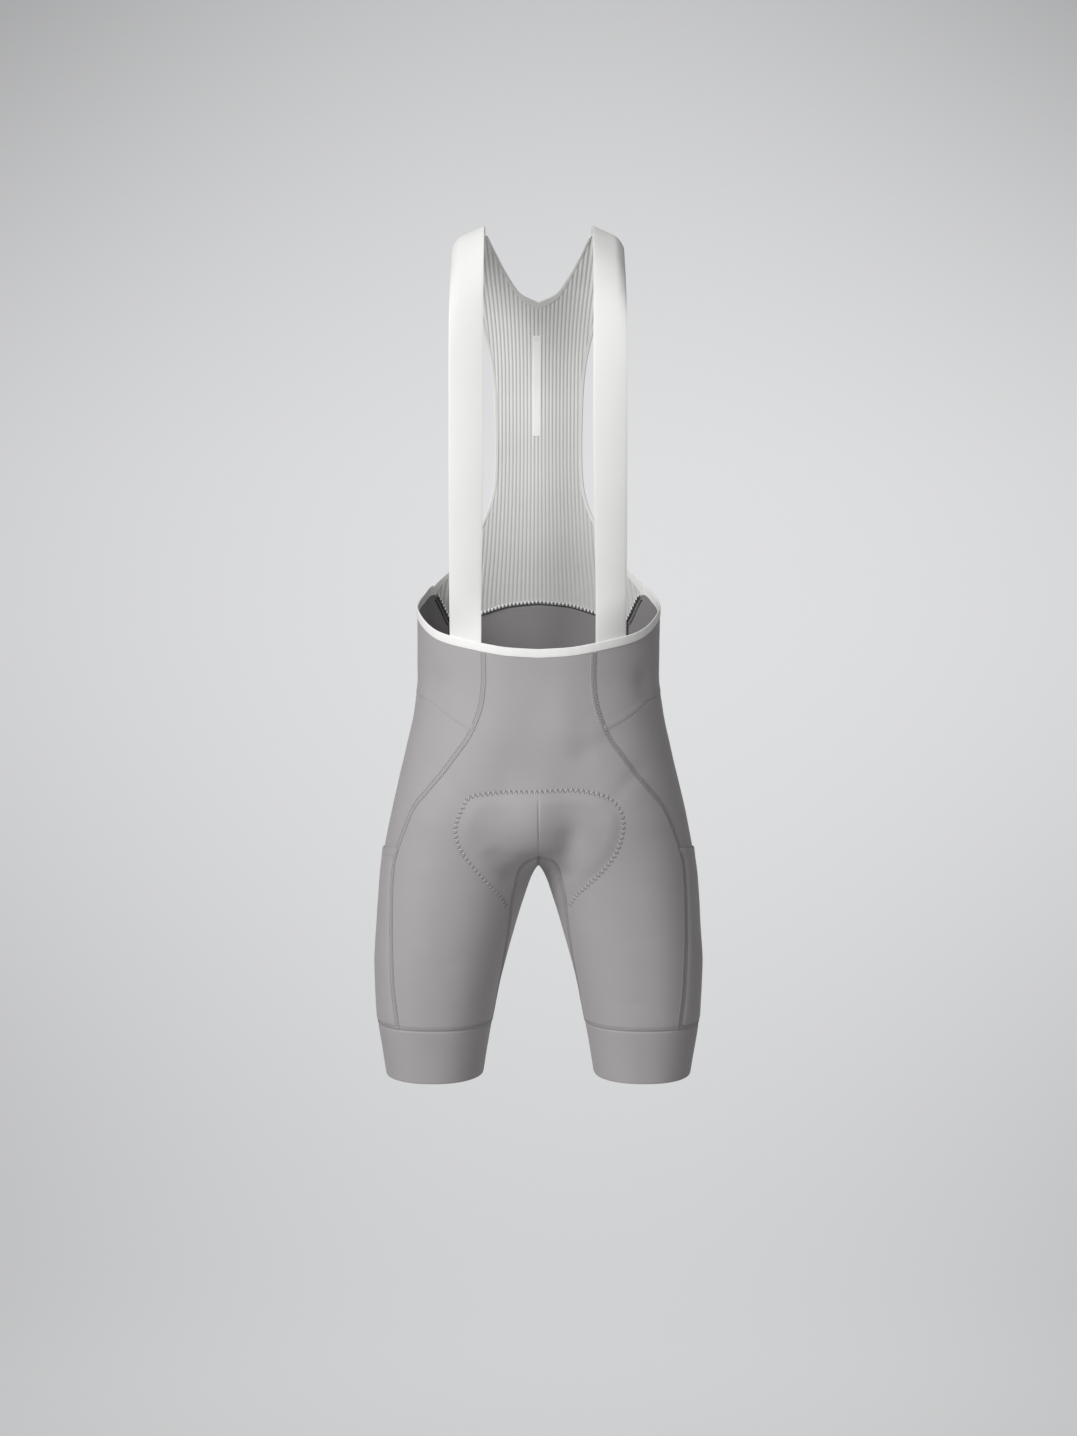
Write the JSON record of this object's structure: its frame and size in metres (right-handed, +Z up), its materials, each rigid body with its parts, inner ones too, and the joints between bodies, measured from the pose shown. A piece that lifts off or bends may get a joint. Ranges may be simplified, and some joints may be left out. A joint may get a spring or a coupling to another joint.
{
  "type": "cycling bib shorts",
  "caption": "Hollow worn bib shorts: panelled stretch-knit shorts with leg bands and side pockets, a ribbed mesh back, bound edges and flat elastic shoulder straps.",
  "frame": {"origin": "midway between the tops of the two shoulder straps, where the wearer's shoulders hold the garment up", "axes": "+Z up along the wearer, -Y to the wearer's front, +X to the wearer's left"},
  "size_m": [0.3684, 0.2247, 0.9458],
  "materials": {
    "shorts_knit": "matte stretch knit with a faint sheen",
    "leg_band_knit": "smooth dense elastic knit, matte",
    "strap_elastic": "flat elastic tape, soft sheen",
    "edge_binding": "folded elastic binding, soft sheen",
    "ribbed_mesh": "ribbed knit mesh, matte",
    "woven_label": "plain woven tape"
  },
  "bodies": {
    "root": {"front_left": "shorts_knit", "hip_left": "shorts_knit", "side_left": "shorts_knit", "pocket_left": "shorts_knit", "inner_left": "shorts_knit", "band_left": "leg_band_knit", "strap_left": "strap_elastic", "armhole_binding_left": "edge_binding", "front_right": "shorts_knit", "hip_right": "shorts_knit", "side_right": "shorts_knit", "pocket_right": "shorts_knit", "inner_right": "shorts_knit", "band_right": "leg_band_knit", "strap_right": "strap_elastic", "armhole_binding_right": "edge_binding", "seat": "shorts_knit", "waist_binding": "edge_binding", "neck_binding": "edge_binding", "bib_back": "ribbed_mesh", "label": "woven_label"}
  },
  "joints": []
}
